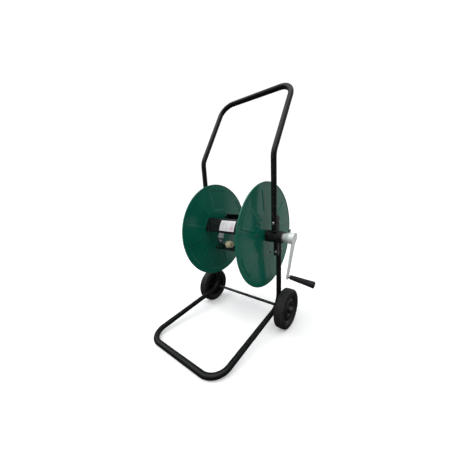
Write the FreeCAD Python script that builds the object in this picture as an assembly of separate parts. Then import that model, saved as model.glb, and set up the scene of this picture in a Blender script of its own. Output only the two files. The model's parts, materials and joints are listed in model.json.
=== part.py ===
"""Garden hose reel cart.

A bent-tube cart carries a steel hose reel between two bearing brackets. The reel is wound with a crank on the
right, water comes in through a swivel on the left and leaves at a threaded outlet inside the drum, and the cart
rolls on two wheels. X runs across the cart (+X is the crank side), +Y to the back and +Z up. All sizes are in
millimetres. Pieces are drawn about the floor point below the middle of the axle, and are moved at the end so that
the origin is at the middle of the whole cart's footprint.
"""
import FreeCAD, Part
import math
import os

# ---- driving dimensions ------------------------------------------------------------------------------------------
# Frame tubes
TUBE_RADIUS = 10.0
TUBE_WALL = 1.5
FRAME_HALF_WIDTH = 167.0          # from the middle plane to each side tube's centre line
LEAN_DEGREES = 5.3                # the uprights lean forward by this much going up
TUBE_PAIR_SPACING = 36.0          # between the centre lines of the base and handle tubes at a bracket
FOOT_FRONT_Y = -374.0             # centre line of the front crossbar
BASE_CORNER_Z = 82.5              # height where the upright's and the foot's centre lines meet
BASE_BEND_RADIUS = 58.0
FOOT_CORNER_RADIUS = 58.0
HANDLE_BEND_Z = 665.2             # height where the handle starts to slope back
HANDLE_TOP_Y = 51.3
HANDLE_TOP_Z = 926.2
HANDLE_BEND_RADIUS = 55.0
HANDLE_CORNER_RADIUS = 54.0
PLUG_THICKNESS = 2.0
PLUG_DEPTH = 12.0

# Axle and wheels
WHEEL_RADIUS = 81.0
WHEEL_INNER_X = 184.0
WHEEL_WIDTH = 39.8
TYRE_INNER_RADIUS = 57.0
WEB_DEPTH = 13.0                  # from the tyre's outer face in to the hollow side of the web
AXLE_RADIUS = 6.0
AXLE_END_LENGTH = 5.4             # beyond the wheel's hub
SLEEVE_RADIUS = 10.0
SLEEVE_LENGTH = 24.0
WHEEL_HUB_RADIUS = 15.0
WHEEL_HUB_OVERHANG = 2.0
WHEEL_END_PLAY = 0.4
WASHER_RADIUS = 12.0
WASHER_THICKNESS = 2.0
CAP_RADIUS = 10.0
CAP_END_THICKNESS = 2.0

# Reel
REEL_Y = -42.0
REEL_Z = 378.0
FLANGE_RADIUS = 200.0
FLANGE_THICKNESS = 1.5
FLANGE_DISH = 4.5                 # from the hub plane out to the rim plane
FLANGE_HUB_RADIUS = 86.0
BEAD_RADIUS = 2.5
PANEL_COUNT = 6
PANEL_FIRST_ANGLE = 152.0
PANEL_LIFT = 1.6                  # how far the pressed wedge panels stand out
PANEL_INNER_RADIUS = 92.0
PANEL_OUTER_RADIUS = 178.0
PANEL_HALF_ANGLE = 15.0
FLANGE_RIGHT_X = 126.3            # inner faces of the flanges at the hub
FLANGE_LEFT_X = -118.9
DRUM_RADIUS = 84.0
DRUM_SHEET = 1.5
DRUM_PLATE_ANGLES = {"front": 156.0, "back": 36.0, "bottom": 276.0}
DRUM_PLATE_HALF_ANGLE = 21.0
LUG_ANGLE = 18.0                  # from a plate's middle to the middle of each lug
LUG_HALF_ANGLE = 3.0
LUG_INNER_RADIUS = 69.0
SCREW_CIRCLE_RADIUS = 76.0
SCREW_RADIUS = 2.5
SCREW_REACH = 6.5                 # past the lug
SCREW_HEAD_RADIUS = 4.8
SCREW_HEAD_HEIGHT = 2.8
SCREW_NUT_FLATS = 8.0
SCREW_NUT_HEIGHT = 4.0
LABEL_ANGLE = 156.3
LABEL_HALF_ANGLE = 14.7
LABEL_START_X = -43.0
LABEL_END_X = 30.0
LABEL_THICKNESS = 0.3

# Bearing brackets
BRACKET_Y = -39.1                 # the brackets' middle line at the height of the reel's axis
BOSS_RADIUS = 22.0
BOSS_INNER_X = 130.0
BOSS_OUTER_X = 196.0
ARM_WIDTH = 16.5
ARM_TOP = 78.0                    # above and below the reel's axis, along the uprights
ARM_BOTTOM = 74.0
ARM_EDGE_RADIUS = 2.0
BOSS_CHAMFER = 1.5
TUBE_END_GAP = 25.5
BRACKET_BOLT_UP = 53.0
BRACKET_BOLT_DOWN = 60.0
BOLT_RADIUS = 4.0
BOLT_REACH = 11.0                 # past the back of the joint
BOLT_HEAD_RADIUS = 6.8
BOLT_HEAD_HEIGHT = 4.5
BOLT_WASHER_RADIUS = 8.5
BOLT_WASHER_THICKNESS = 1.6
BOLT_NUT_FLATS = 13.0
BOLT_NUT_HEIGHT = 6.5

# Shafts, bushes and waterway
CRANK_SHAFT_RADIUS = 8.0
CRANK_SHAFT_END_X = 229.0
WATER_SHAFT_RADIUS = 10.0
WATER_SHAFT_INNER_X = FLANGE_LEFT_X + 6
WATER_SHAFT_END_X = -211.5
WATERWAY_RADIUS = 6.0
RING_GROOVE_DEPTH = 1.6
RING_WIDTH = 1.6
SEAL_SPOTS = (-201.5, -205.0)
SNAP_RING_X = -209.0
SNAP_RING_STAND = 1.4             # how far the snap ring stands out of the shaft
RUNNING_CLEARANCE = 0.06
BUSH_WALL = 3.0
BUSH_LIP = 2.0
HUB_DISC_RADIUS = 32.0
HUB_DISC_THICKNESS = 3.0
SPACER_RADIUS = 15.0
SPACER_END_PLAY = 0.6
THREAD_RADIUS = 13.2              # three-quarter inch pipe thread, drawn as a plain cylinder
THREAD_LENGTH = 12.0

# Elbow, pipe and outlet inside the drum
OUTLET_ANGLE = 252.0              # direction from the reel's axis to the outlet, from +Y through +Z
OUTLET_DROP = 57.5                # the outlet's axis from the reel's axis
ELBOW_X = -103.0
ELBOW_RADIUS = 12.5
ELBOW_LENGTH = 35.0
ELBOW_COLLAR = 7.0
PIPE_RADIUS = 8.5
PIPE_WALL = 1.5
PIPE_BEND_RADIUS = 17.0
PIPE_SOCKET = 9.0                 # how far the pipe goes up into the elbow
OUTLET_NUT_FLATS = 27.0
OUTLET_NUT_START_X = -56.0
OUTLET_NUT_END_X = -44.0
OUTLET_PIPE_END_X = -51.0
OUTLET_SPIGOT_RADIUS = 11.0
OUTLET_BORE_RADIUS = 7.5

# Inlet swivel
SWIVEL_RADIUS = 16.0
SWIVEL_START_X = -203.0
SWIVEL_END_X = -224.5
SWIVEL_CHAMBER_END_X = -211.0
SWIVEL_WATERWAY_END_X = -220.0
BRANCH_X = -215.5
BRANCH_END_Z = REEL_Z - 52.0
BRANCH_RADIUS = 9.0
BRANCH_BORE_RADIUS = 5.0
BRANCH_COLLAR_FLATS = 30.0
BRANCH_COLLAR_HEIGHT = 4.0
GLAND_START_X = -199.0
GLAND_END_X = -208.0
GLAND_RADIUS = 12.2
GLAND_NUT_FLATS = 32.0

# Crank and grip
CRANK_HUB_RADIUS = 20.8
CRANK_NOSE_RADIUS = 12.5          # the hub narrows to this beside the bracket
CRANK_HEAD_RADIUS = 21.8
CRANK_HUB_START_X = 198.6
CRANK_SHOULDER_X = 222.0          # where the hub reaches its full radius
CRANK_FACE_X = 239.3              # outer face of the arm at the reel's axis
CRANK_RAKE_DEGREES = 5.5          # the arm leans in towards the frame
CRANK_ANGLE = 267.0               # direction of the arm round the reel's axis, from +Y through +Z
CRANK_LENGTH = 142.0
CRANK_ARM_THICKNESS = 5.6
CRANK_WIDTH_TOP = 27.0
CRANK_WIDTH_END = 12.0
CRANK_TAIL = 6.0                  # how far the arm runs straight on past the grip's pin
CRANK_HEAD_REACH = 5.0            # hub metal trimmed off beyond the raked face
SET_SCREW_X = 219.0
SET_SCREW_RADIUS = 3.0
SET_SCREW_LENGTH = 19.0
SET_SCREW_HEAD_FLATS = 10.0
SET_SCREW_HEAD_HEIGHT = 4.0
GRIP_START = 7.4                  # along the grip's axis, from the arm's outer face
GRIP_END = 95.0
GRIP_RADIUS_INNER = 8.4
GRIP_RADIUS_OUTER = 12.3
GRIP_PIN_RADIUS = 4.0
PIN_RIVET_RADIUS = 6.0
PIN_RIVET_HEIGHT = 1.5
PIN_SHOULDER_RADIUS = 5.6
PIN_END_PLAY = 0.4
PIN_HEAD_RADIUS = 6.2
PIN_HEAD_HEIGHT = 2.5
GRIP_RECESS_RADIUS = 7.0
GRIP_RECESS_DEPTH = 8.0
GRIP_CAP_THICKNESS = 3.0

LEAN = math.radians(LEAN_DEGREES)
ARM_THICKNESS = TUBE_PAIR_SPACING - 2 * TUBE_RADIUS
AXIS_X = FreeCAD.Vector(1, 0, 0)


# ---- general shapes ----------------------------------------------------------------------------------------------
def vec(x, y, z):
    return FreeCAD.Vector(x, y, z)


def rod(radius, start, end):
    """A round rod from one point to another."""
    return Part.makeCylinder(radius, (end - start).Length, start, end - start)


def rod_x(radius, x_start, x_end, y=REEL_Y, z=REEL_Z):
    return rod(radius, vec(x_start, y, z), vec(x_end, y, z))


def pipe_x(outer, inner, x_start, x_end, y=REEL_Y, z=REEL_Z):
    return rod_x(outer, x_start, x_end, y, z).cut(rod_x(inner, x_start, x_end, y, z))


def hexagon(across_flats, start, end):
    """A hexagonal prism from one point to another."""
    direction = (end - start).normalize()
    side = direction.cross(vec(0, 0, 1)) if abs(direction.z) < 0.9 else direction.cross(vec(1, 0, 0))
    side.normalize()
    up = direction.cross(side)
    reach = across_flats / math.sqrt(3)
    corners = []
    for step in range(7):
        angle = math.radians(60 * step)
        corners.append(start + side * (reach * math.cos(angle)) + up * (reach * math.sin(angle)))
    return Part.Face(Part.makePolygon(corners)).extrude(end - start)


def revolve_x(profile, y=REEL_Y, z=REEL_Z):
    """Turn a closed outline of (x, radius) points round an axis along X."""
    points = [vec(x, y + radius, z) for x, radius in profile]
    face = Part.Face(Part.makePolygon(points + points[:1]))
    return face.revolve(vec(0, y, z), AXIS_X, 360)


def on_circle(radius, angle_degrees, x=0.0):
    """A point round the reel's axis, with the angle from +Y through +Z."""
    angle = math.radians(angle_degrees)
    return vec(x, REEL_Y + radius * math.cos(angle), REEL_Z + radius * math.sin(angle))


def wedge(radius_inner, radius_outer, centre_angle, half_angle, x_start, x_end):
    """The part of a ring round the reel's axis within an angle, between two X planes."""
    low = centre_angle - half_angle
    high = centre_angle + half_angle
    outline = [
        Part.LineSegment(on_circle(radius_inner, low, x_start), on_circle(radius_outer, low, x_start)),
        Part.Arc(on_circle(radius_outer, low, x_start), on_circle(radius_outer, centre_angle, x_start),
                 on_circle(radius_outer, high, x_start)),
        Part.LineSegment(on_circle(radius_outer, high, x_start), on_circle(radius_inner, high, x_start)),
        Part.Arc(on_circle(radius_inner, high, x_start), on_circle(radius_inner, centre_angle, x_start),
                 on_circle(radius_inner, low, x_start)),
    ]
    face = Part.Face(Part.Wire([piece.toShape() for piece in outline]))
    return face.extrude(vec(x_end - x_start, 0, 0))


def bent_path(corners, radii):
    """Straight runs through the corners, joined by tangent arcs."""
    edges = []
    start = corners[0]
    for before, corner, after, radius in zip(corners, corners[1:], corners[2:], radii):
        incoming = (corner - before).normalize()
        outgoing = (after - corner).normalize()
        half_turn = incoming.getAngle(outgoing) / 2
        setback = radius * math.tan(half_turn)
        arc_start = corner - incoming * setback
        arc_end = corner + outgoing * setback
        bisector = (outgoing - incoming).normalize()
        arc_middle = corner + bisector * (radius / math.cos(half_turn) - radius)
        edges.append(Part.LineSegment(start, arc_start).toShape())
        edges.append(Part.Arc(arc_start, arc_middle, arc_end).toShape())
        start = arc_end
    edges.append(Part.LineSegment(start, corners[-1]).toShape())
    return Part.Wire(edges)


def swept_rod(corners, radii, radius):
    path = bent_path(corners, radii)
    direction = corners[1] - corners[0]
    section = Part.Wire([Part.Circle(corners[0], direction, radius).toShape()])
    return path.makePipeShell([section], True, False)


def swept_tube(corners, radii, radius, wall):
    """A bent tube, open at both ends."""
    return swept_rod(corners, radii, radius).cut(swept_rod(corners, radii, radius - wall))


def both_sides(shape):
    """A piece on the right and its mirror image on the left."""
    return Part.Compound([shape, shape.mirror(vec(0, 0, 0), AXIS_X)])


# ---- frame -------------------------------------------------------------------------------------------------------
def upright_point(side, offset, height_along):
    """A point beside a bracket: offset across the uprights (+ is back), and a distance up along them."""
    return vec(side * FRAME_HALF_WIDTH,
               BRACKET_Y + offset * math.cos(LEAN) - height_along * math.sin(LEAN),
               REEL_Z + offset * math.sin(LEAN) + height_along * math.cos(LEAN))


def at_height(offset, z):
    """Where the upright's centre line at this offset passes a height, on the right-hand side."""
    start = upright_point(1, offset, 0)
    return start + vec(0, -math.tan(LEAN) * (z - start.z), z - start.z)


def mirrored(points):
    """The points, and then their mirror images in reverse order."""
    return points + [vec(-point.x, point.y, point.z) for point in reversed(points)]


HALF_PAIR = TUBE_PAIR_SPACING / 2
BASE_CORNERS = mirrored([upright_point(1, HALF_PAIR, -TUBE_END_GAP),
                         at_height(HALF_PAIR, BASE_CORNER_Z),
                         vec(FRAME_HALF_WIDTH, FOOT_FRONT_Y, TUBE_RADIUS)])
BASE_RADII = [BASE_BEND_RADIUS, FOOT_CORNER_RADIUS, FOOT_CORNER_RADIUS, BASE_BEND_RADIUS]
HANDLE_CORNERS = mirrored([upright_point(1, -HALF_PAIR, TUBE_END_GAP),
                           at_height(-HALF_PAIR, HANDLE_BEND_Z),
                           vec(FRAME_HALF_WIDTH, HANDLE_TOP_Y, HANDLE_TOP_Z)])
HANDLE_RADII = [HANDLE_BEND_RADIUS, HANDLE_CORNER_RADIUS, HANDLE_CORNER_RADIUS, HANDLE_BEND_RADIUS]


def bracket_bolt_line(side, upper):
    """The two ends of a bracket bolt's shank, from under its head at the front to its free end at the back."""
    height = BRACKET_BOLT_UP if upper else -BRACKET_BOLT_DOWN
    arm_half = ARM_THICKNESS / 2
    front = -arm_half - 2 * TUBE_RADIUS if upper else -arm_half
    return upright_point(side, front, height), upright_point(side, front + 2 * TUBE_RADIUS + ARM_THICKNESS, height)


def all_bracket_bolt_lines():
    return [bracket_bolt_line(side, upper) for side in (1, -1) for upper in (True, False)]


def drill_bolt_holes(shape, side=None):
    for sign in ((1, -1) if side is None else (side,)):
        for upper in (True, False):
            start, end = bracket_bolt_line(sign, upper)
            along = (end - start).normalize()
            shape = shape.cut(rod(BOLT_RADIUS, start - along * 5, end + along * 5))
    return shape


def tube_plug(end, into_tube):
    """A plastic plug in a tube's open end, with a disc that covers the wall."""
    into = into_tube.normalize()
    disc = rod(TUBE_RADIUS, end - into * PLUG_THICKNESS, end)
    return disc.fuse(rod(TUBE_RADIUS - TUBE_WALL, end, end + into * PLUG_DEPTH)).removeSplitter()


def make_tubes():
    base = drill_bolt_holes(swept_tube(BASE_CORNERS, BASE_RADII, TUBE_RADIUS, TUBE_WALL))
    handle = drill_bolt_holes(swept_tube(HANDLE_CORNERS, HANDLE_RADII, TUBE_RADIUS, TUBE_WALL))
    plugs = []
    for corners in (BASE_CORNERS, HANDLE_CORNERS):
        plugs.append(tube_plug(corners[0], corners[1] - corners[0]))
        plugs.append(tube_plug(corners[-1], corners[-2] - corners[-1]))
    return {"base_tube": base, "handle_tube": handle, "tube_end_plugs": Part.Compound(plugs)}


def make_bracket(side, bush_radius):
    """A moulded block between the two tubes, with a round boss for the reel's shaft."""
    arm = Part.makeBox(ARM_WIDTH, ARM_THICKNESS, ARM_TOP + ARM_BOTTOM,
                       vec(-ARM_WIDTH / 2, -ARM_THICKNESS / 2, -ARM_BOTTOM))
    arm = arm.makeFillet(ARM_EDGE_RADIUS, [edge for edge in arm.Edges if abs(edge.tangentAt(0).z) < 0.5])
    arm.rotate(vec(0, 0, 0), AXIS_X, LEAN_DEGREES)
    arm.translate(vec(FRAME_HALF_WIDTH, BRACKET_Y, REEL_Z))
    boss = rod_x(BOSS_RADIUS, BOSS_INNER_X, BOSS_OUTER_X)
    boss = boss.makeChamfer(BOSS_CHAMFER, [edge for edge in boss.Edges if edge.Closed])
    bracket = arm.fuse(boss).removeSplitter()
    bracket = bracket.cut(rod_x(bush_radius, BOSS_INNER_X, BOSS_OUTER_X))
    if side < 0:
        bracket = bracket.mirror(vec(0, 0, 0), AXIS_X)
    return drill_bolt_holes(bracket, side)


def make_bush(side, shaft_radius):
    """A flanged plain bush, pressed into the boss from outside."""
    bore = shaft_radius + RUNNING_CLEARANCE
    outer = shaft_radius + BUSH_WALL
    sleeve = rod_x(outer, BOSS_INNER_X, BOSS_OUTER_X)
    lip = rod_x(outer + 3, BOSS_OUTER_X, BOSS_OUTER_X + BUSH_LIP)
    bush = sleeve.fuse(lip).cut(rod_x(bore, BOSS_INNER_X, BOSS_OUTER_X + BUSH_LIP)).removeSplitter()
    return bush if side > 0 else bush.mirror(vec(0, 0, 0), AXIS_X)


def domed_head(radius, height, base, direction):
    """A button head: a disc with its outer edge rounded over."""
    top = base + vec(*direction).normalize() * height
    head = rod(radius, base, top)
    rim = [edge for edge in head.Edges if edge.Closed and (edge.CenterOfMass - top).Length < 0.1]
    return head.makeFillet(height * 0.85, rim)


def make_bracket_fasteners():
    """Button-head bolts through the tubes and arms, each with a washer and a nut at the back."""
    bolts = []
    washers = []
    nuts = []
    for start, end in all_bracket_bolt_lines():
        along = (end - start).normalize()
        shank = rod(BOLT_RADIUS, start, end + along * BOLT_REACH)
        bolts.append(shank.fuse(domed_head(BOLT_HEAD_RADIUS, BOLT_HEAD_HEIGHT, start, along * -1)))
        nut_start = end + along * BOLT_WASHER_THICKNESS
        nut_end = nut_start + along * BOLT_NUT_HEIGHT
        washers.append(rod(BOLT_WASHER_RADIUS, end, nut_start).cut(rod(BOLT_RADIUS, end, nut_start)))
        nuts.append(hexagon(BOLT_NUT_FLATS, nut_start, nut_end).cut(rod(BOLT_RADIUS, nut_start, nut_end)))
    return {"bracket_bolts": Part.Compound(bolts), "bracket_washers": Part.Compound(washers),
            "bracket_nuts": Part.Compound(nuts)}


def axle_rod(radius, x_start, x_end):
    return rod_x(radius, x_start, x_end, 0, WHEEL_RADIUS)


def axle_ring(radius, x_start, length):
    return axle_rod(radius, x_start, x_start + length).cut(axle_rod(AXLE_RADIUS, x_start, x_start + length))


def make_axle():
    """The axle rod, its sleeves on the outside of the bends, and what holds the wheels on."""
    hub_start = WHEEL_INNER_X - WHEEL_HUB_OVERHANG
    hub_end = WHEEL_INNER_X + WHEEL_WIDTH + WHEEL_HUB_OVERHANG
    sleeve_end = hub_start - WHEEL_END_PLAY - WASHER_THICKNESS
    axle_end = hub_end + AXLE_END_LENGTH
    tube_solid = swept_rod(BASE_CORNERS, BASE_RADII, TUBE_RADIUS)
    sleeve = axle_ring(SLEEVE_RADIUS, sleeve_end - SLEEVE_LENGTH, SLEEVE_LENGTH).cut(tube_solid)
    outer_washer_x = hub_end + WHEEL_END_PLAY
    washers = [both_sides(axle_ring(WASHER_RADIUS, x, WASHER_THICKNESS)) for x in (sleeve_end, outer_washer_x)]
    cap_start = outer_washer_x + WASHER_THICKNESS
    cap = axle_rod(CAP_RADIUS, cap_start, axle_end + CAP_END_THICKNESS)
    cap = cap.cut(axle_rod(AXLE_RADIUS, cap_start, axle_end))
    cap = cap.makeChamfer(1.2, [edge for edge in cap.Edges if edge.Closed and edge.Curve.Radius > AXLE_RADIUS
                                and edge.CenterOfMass.x > axle_end])
    return {"axle": axle_rod(AXLE_RADIUS, -axle_end, axle_end), "axle_sleeves": both_sides(sleeve),
            "wheel_washers": Part.Compound(washers), "axle_caps": both_sides(cap)}


# ---- wheels ------------------------------------------------------------------------------------------------------
def make_wheel(side):
    """A plastic rim, deep and hollow on its inner side, and a tyre with rounded shoulders."""
    x0 = WHEEL_INNER_X
    x1 = WHEEL_INNER_X + WHEEL_WIDTH
    middle = (x0 + x1) / 2
    tyre = revolve_x([(x0 + 2.5, TYRE_INNER_RADIUS), (x0, TYRE_INNER_RADIUS + 4), (x0, WHEEL_RADIUS - 7),
                      (x0 + 2, WHEEL_RADIUS - 3), (x0 + 6.5, WHEEL_RADIUS - 0.7), (middle - 6, WHEEL_RADIUS),
                      (middle + 6, WHEEL_RADIUS), (x1 - 6.5, WHEEL_RADIUS - 0.7), (x1 - 2, WHEEL_RADIUS - 3),
                      (x1, WHEEL_RADIUS - 7), (x1, TYRE_INNER_RADIUS + 4), (x1 - 2.5, TYRE_INNER_RADIUS)],
                     0, WHEEL_RADIUS)
    bore = AXLE_RADIUS + RUNNING_CLEARANCE
    web_x = x1 - WEB_DEPTH
    hub_start = x0 - WHEEL_HUB_OVERHANG
    hub_end = x1 + WHEEL_HUB_OVERHANG
    hollow_side = [(hub_start, bore), (hub_start, WHEEL_HUB_RADIUS), (web_x, WHEEL_HUB_RADIUS + 2),
                   (web_x, TYRE_INNER_RADIUS - 8), (x0 + 3, TYRE_INNER_RADIUS - 5), (x0 + 3, TYRE_INNER_RADIUS)]
    dished_side = [(x1 - 4, TYRE_INNER_RADIUS), (x1 - 4, TYRE_INNER_RADIUS - 5), (x1 - 9, TYRE_INNER_RADIUS - 8),
                   (x1 - 9, TYRE_INNER_RADIUS - 14), (x1 - 4, TYRE_INNER_RADIUS - 18), (x1 - 4, 24),
                   (x1 - 8, WHEEL_HUB_RADIUS + 4), (x1 - 8, WHEEL_HUB_RADIUS), (hub_end, WHEEL_HUB_RADIUS - 1.5),
                   (hub_end, bore)]
    rim = revolve_x(hollow_side + dished_side, 0, WHEEL_RADIUS)
    if side < 0:
        tyre = tyre.mirror(vec(0, 0, 0), AXIS_X)
        rim = rim.mirror(vec(0, 0, 0), AXIS_X)
    return rim, tyre


# ---- reel --------------------------------------------------------------------------------------------------------
def dish_profile(side, hub_x, lift, thickness):
    """Cross-section of the dished sheet, starting at a given distance outside the hub plane."""
    rim_radius = FLANGE_RADIUS - BEAD_RADIUS
    inner = [(hub_x, 0.0), (hub_x, FLANGE_HUB_RADIUS), (hub_x + side * FLANGE_DISH, rim_radius)]
    near = [(x + side * lift, radius) for x, radius in inner]
    far = [(x + side * (lift + thickness), radius) for x, radius in inner]
    return near + list(reversed(far))


def make_flange(side, hub_x, shaft_radius):
    """A dished steel disc with six pressed wedge panels and a rolled bead round its edge."""
    sheet = revolve_x(dish_profile(side, hub_x, 0, FLANGE_THICKNESS))
    lifted_sheet = revolve_x(dish_profile(side, hub_x, PANEL_LIFT, FLANGE_THICKNESS))
    full_depth = revolve_x(dish_profile(side, hub_x, 0, FLANGE_THICKNESS + PANEL_LIFT))
    x_low = hub_x - side * 5
    x_high = hub_x + side * (FLANGE_DISH + 10)
    pieces = []
    wall = FLANGE_THICKNESS
    for step in range(PANEL_COUNT):
        centre = PANEL_FIRST_ANGLE + 360 / PANEL_COUNT * step
        outside = wedge(PANEL_INNER_RADIUS, PANEL_OUTER_RADIUS, centre, PANEL_HALF_ANGLE, x_low, x_high)
        inset_angle = math.degrees(wall / PANEL_OUTER_RADIUS)
        inside = wedge(PANEL_INNER_RADIUS + wall, PANEL_OUTER_RADIUS - wall, centre,
                       PANEL_HALF_ANGLE - inset_angle, x_low, x_high)
        sheet = sheet.cut(outside)
        pieces.append(lifted_sheet.common(inside))
        pieces.append(full_depth.common(outside.cut(inside)))
    bead_x = hub_x + side * (FLANGE_DISH + FLANGE_THICKNESS / 2)
    bead = Part.makeTorus(FLANGE_RADIUS - BEAD_RADIUS, BEAD_RADIUS, vec(bead_x, REEL_Y, REEL_Z), AXIS_X)
    flange = sheet.multiFuse(pieces + [bead]).removeSplitter()
    flange = flange.cut(rod_x(shaft_radius, x_low, x_high))
    for angle in drum_screw_angles():
        start = on_circle(SCREW_CIRCLE_RADIUS, angle, x_low)
        flange = flange.cut(rod(SCREW_RADIUS, start, start + vec(x_high - x_low, 0, 0)))
    return flange


def drum_screw_angles():
    return [centre + sign * LUG_ANGLE for centre in DRUM_PLATE_ANGLES.values() for sign in (-1, 1)]


def make_drum_plate(centre):
    """A curved sheet between the flanges, with two bent lugs at each end."""
    plate = wedge(DRUM_RADIUS - DRUM_SHEET, DRUM_RADIUS, centre, DRUM_PLATE_HALF_ANGLE,
                  FLANGE_LEFT_X, FLANGE_RIGHT_X)
    for sign in (-1, 1):
        angle = centre + sign * LUG_ANGLE
        for x_start, x_end in ((FLANGE_LEFT_X, FLANGE_LEFT_X + DRUM_SHEET),
                               (FLANGE_RIGHT_X - DRUM_SHEET, FLANGE_RIGHT_X)):
            lug = wedge(LUG_INNER_RADIUS, DRUM_RADIUS - DRUM_SHEET / 2, angle, LUG_HALF_ANGLE, x_start, x_end)
            hole_start = on_circle(SCREW_CIRCLE_RADIUS, angle, x_start)
            plate = plate.fuse(lug.cut(rod(SCREW_RADIUS, hole_start, hole_start + vec(x_end - x_start, 0, 0))))
    return plate.removeSplitter()


def make_drum_fasteners():
    """Pan-head screws through the flanges into the lugs, and the nuts behind the lugs."""
    screws = []
    nuts = []
    for side, hub_x in ((1, FLANGE_RIGHT_X), (-1, FLANGE_LEFT_X)):
        outward = vec(side, 0, 0)
        for angle in drum_screw_angles():
            seat = on_circle(SCREW_CIRCLE_RADIUS, angle, hub_x + side * FLANGE_THICKNESS)
            tip = seat - outward * (FLANGE_THICKNESS + DRUM_SHEET + SCREW_REACH)
            head = domed_head(SCREW_HEAD_RADIUS, SCREW_HEAD_HEIGHT, seat, outward)
            screws.append(rod(SCREW_RADIUS, tip, seat).fuse(head))
            nut_start = on_circle(SCREW_CIRCLE_RADIUS, angle, hub_x - side * DRUM_SHEET)
            nut_end = nut_start - outward * SCREW_NUT_HEIGHT
            nuts.append(hexagon(SCREW_NUT_FLATS, nut_start, nut_end).cut(rod(SCREW_RADIUS, nut_start, nut_end)))
    return {"drum_screws": Part.Compound(screws), "drum_nuts": Part.Compound(nuts)}


def make_label():
    """A blank sticker on the front drum plate."""
    return wedge(DRUM_RADIUS, DRUM_RADIUS + LABEL_THICKNESS, LABEL_ANGLE, LABEL_HALF_ANGLE,
                 LABEL_START_X, LABEL_END_X)


def make_crank_shaft():
    """A solid shaft with a disc welded inside the right-hand flange."""
    disc = rod_x(HUB_DISC_RADIUS, FLANGE_RIGHT_X - HUB_DISC_THICKNESS, FLANGE_RIGHT_X)
    return disc.fuse(rod_x(CRANK_SHAFT_RADIUS, FLANGE_RIGHT_X, CRANK_SHAFT_END_X)).removeSplitter()


def make_water_shaft():
    """A brass tube through the left-hand bracket, with a disc welded outside the flange and grooves for rings."""
    flange_face = FLANGE_LEFT_X - FLANGE_THICKNESS
    tube = rod_x(WATER_SHAFT_RADIUS, WATER_SHAFT_INNER_X, WATER_SHAFT_END_X)
    disc = rod_x(HUB_DISC_RADIUS, flange_face, flange_face - HUB_DISC_THICKNESS)
    shaft = tube.fuse(disc).cut(rod_x(WATERWAY_RADIUS, WATER_SHAFT_INNER_X, WATER_SHAFT_END_X))
    for x in SEAL_SPOTS + (SNAP_RING_X,):
        shaft = shaft.cut(shaft_ring(x, WATER_SHAFT_RADIUS + 1))
    return shaft.removeSplitter()


def shaft_ring(x, outer_radius):
    """A ring that sits in one of the water shaft's grooves."""
    return pipe_x(outer_radius, WATER_SHAFT_RADIUS - RING_GROOVE_DEPTH, x, x - RING_WIDTH)


def make_shaft_rings():
    seals = [shaft_ring(x, WATER_SHAFT_RADIUS) for x in SEAL_SPOTS]
    snap_ring = shaft_ring(SNAP_RING_X, WATER_SHAFT_RADIUS + SNAP_RING_STAND)
    return {"shaft_seals": Part.Compound(seals), "shaft_snap_ring": snap_ring}


def make_hub_spacers():
    right_start = FLANGE_RIGHT_X + FLANGE_THICKNESS
    left_start = FLANGE_LEFT_X - FLANGE_THICKNESS - HUB_DISC_THICKNESS
    bracket_gap = BOSS_INNER_X - SPACER_END_PLAY
    return {"hub_spacer_right": pipe_x(SPACER_RADIUS, CRANK_SHAFT_RADIUS, right_start, bracket_gap),
            "hub_spacer_left": pipe_x(SPACER_RADIUS, WATER_SHAFT_RADIUS, left_start, -bracket_gap)}


def outlet_point(x, drop):
    """A point out from the reel's axis in the direction of the outlet."""
    return on_circle(drop, OUTLET_ANGLE, x)


def outlet_rod(radius, x_start, x_end):
    return rod(radius, outlet_point(x_start, OUTLET_DROP), outlet_point(x_end, OUTLET_DROP))


def make_elbow():
    """A moulded elbow from the end of the water shaft, with a collar round its mouth."""
    centre = outlet_point(ELBOW_X, 0)
    inlet = outlet_point(FLANGE_LEFT_X + 0.5, 0)
    mouth = outlet_point(ELBOW_X, ELBOW_LENGTH)
    collar_top = outlet_point(ELBOW_X, ELBOW_LENGTH - ELBOW_COLLAR)
    socket_top = outlet_point(ELBOW_X, ELBOW_LENGTH - PIPE_SOCKET)
    elbow = rod(ELBOW_RADIUS, inlet, centre).fuse(Part.makeSphere(ELBOW_RADIUS, centre))
    elbow = elbow.fuse(rod(ELBOW_RADIUS - 0.5, centre, mouth)).fuse(rod(ELBOW_RADIUS + 1.5, collar_top, mouth))
    elbow = elbow.cut(rod_x(WATER_SHAFT_RADIUS, FLANGE_LEFT_X, WATER_SHAFT_INNER_X))
    elbow = elbow.cut(rod(WATERWAY_RADIUS, inlet, centre)).cut(rod(WATERWAY_RADIUS, centre, mouth))
    return elbow.cut(rod(PIPE_RADIUS, socket_top, mouth)).removeSplitter()


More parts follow.
